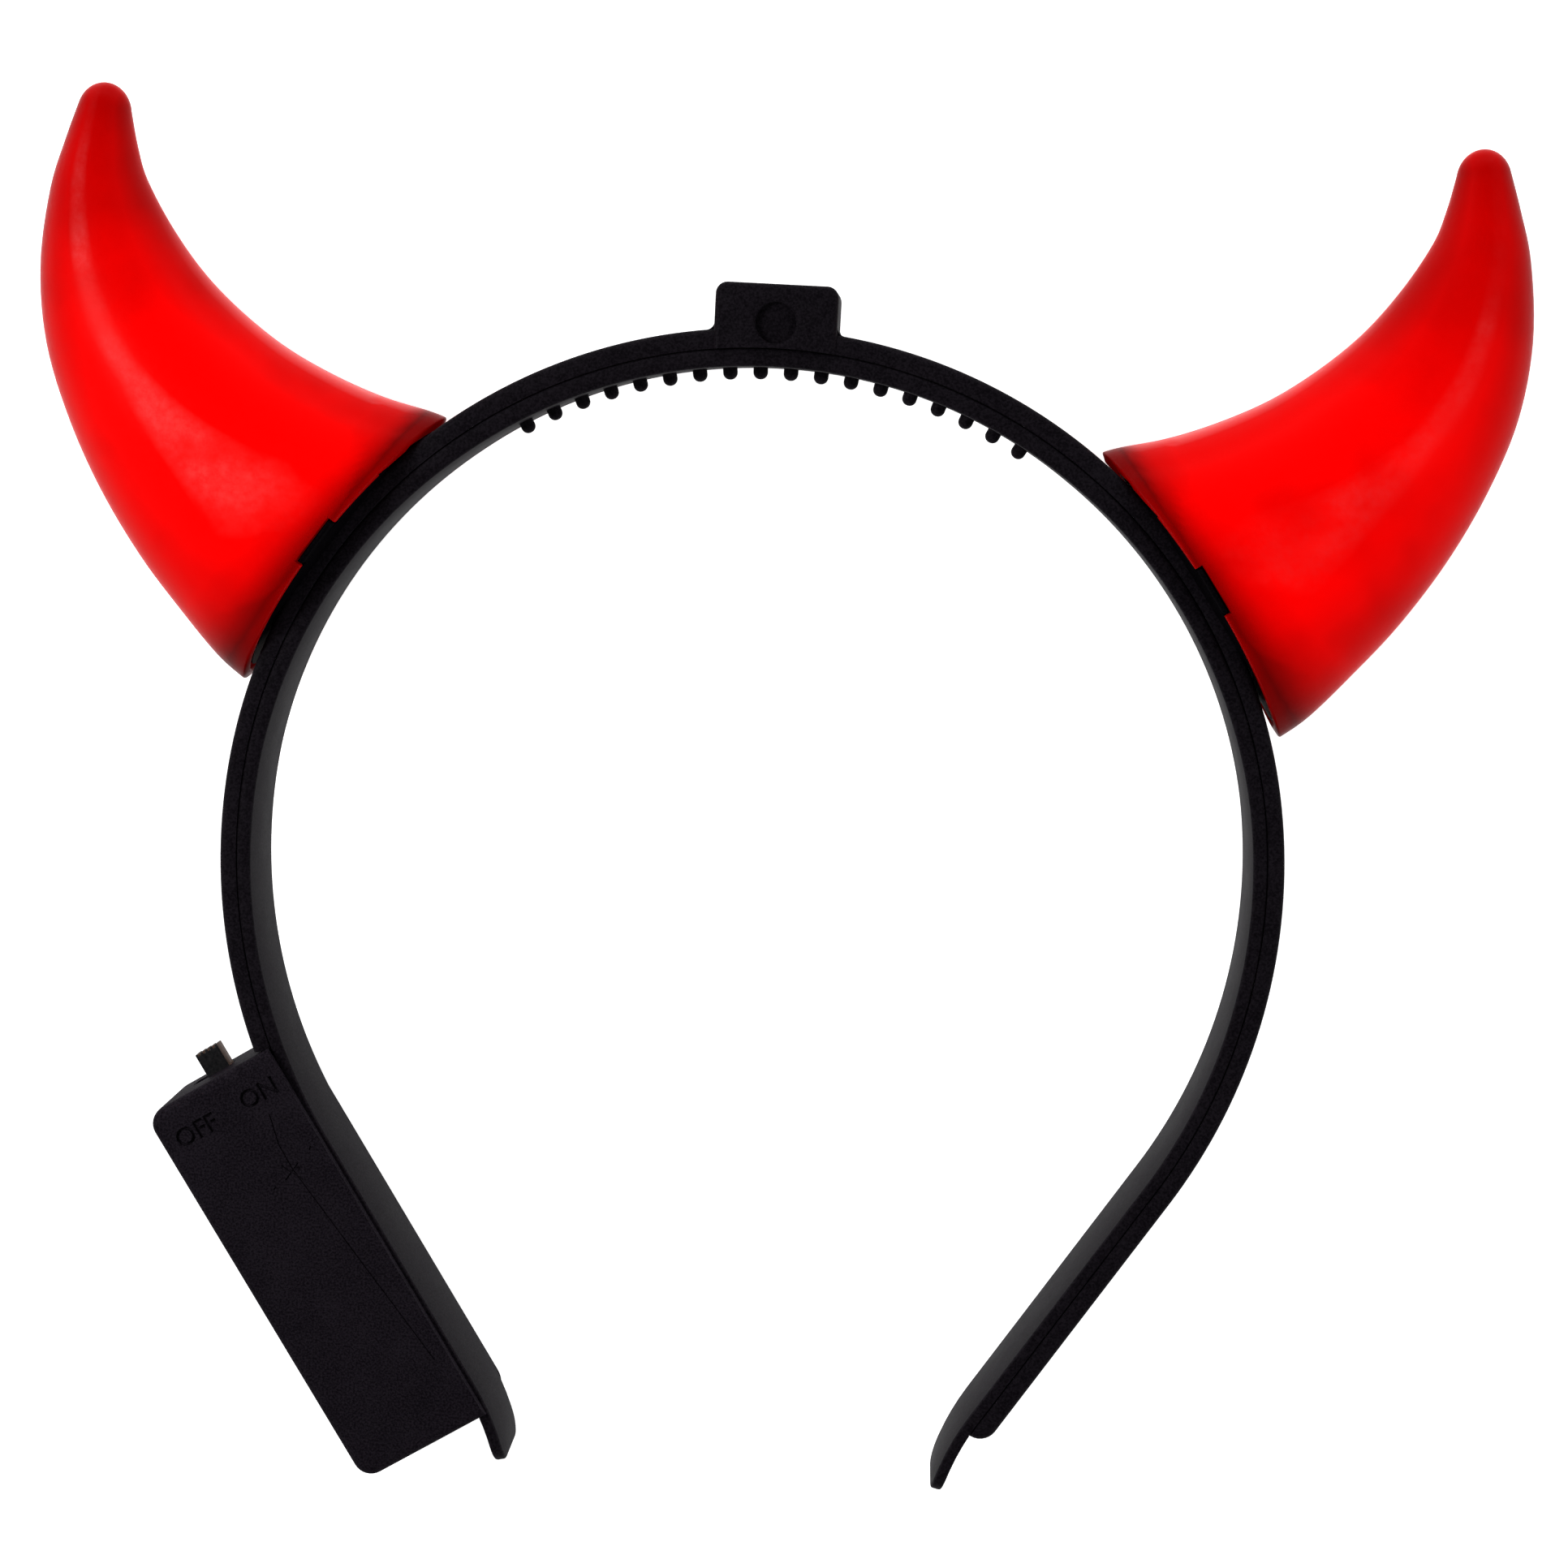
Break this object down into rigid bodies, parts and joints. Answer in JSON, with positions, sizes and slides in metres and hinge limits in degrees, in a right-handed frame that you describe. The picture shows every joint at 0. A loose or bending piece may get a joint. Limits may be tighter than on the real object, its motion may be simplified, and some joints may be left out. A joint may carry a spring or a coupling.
{
  "type": "devil horns headband",
  "caption": "Open plastic hoop with comb pegs, an outer channel, hollow curved translucent horns and a battery box with a slide switch.",
  "frame": {"origin": "middle of the bounding box's bottom: the headband lies on its back, with the hoop flat in XY", "axes": "+Z out of the front, +Y towards the crown and the horns' tips, X from horn to horn, with the battery box on the -X leg"},
  "size_m": [0.1926, 0.1822, 0.024],
  "materials": {
    "black_plastic": "satin black moulded plastic with a fine grain",
    "red_horn_plastic": "frosted translucent red",
    "switch_plastic": "satin black"
  },
  "bodies": {
    "headband": {"comb_band": "black_plastic", "band_cover": "black_plastic", "horn_left": "red_horn_plastic", "horn_right": "red_horn_plastic", "horn_seat_left": "black_plastic", "horn_seat_right": "black_plastic", "battery_case": "black_plastic", "battery_cover": "black_plastic"},
    "switch": {"switch_knob": "switch_plastic"}
  },
  "joints": [
    {"name": "switch_slide", "type": "slide", "parent": "headband", "child": "switch", "axis": [-0.8415, -0.5402, 0], "range_m": [0, 0.002]}
  ]
}
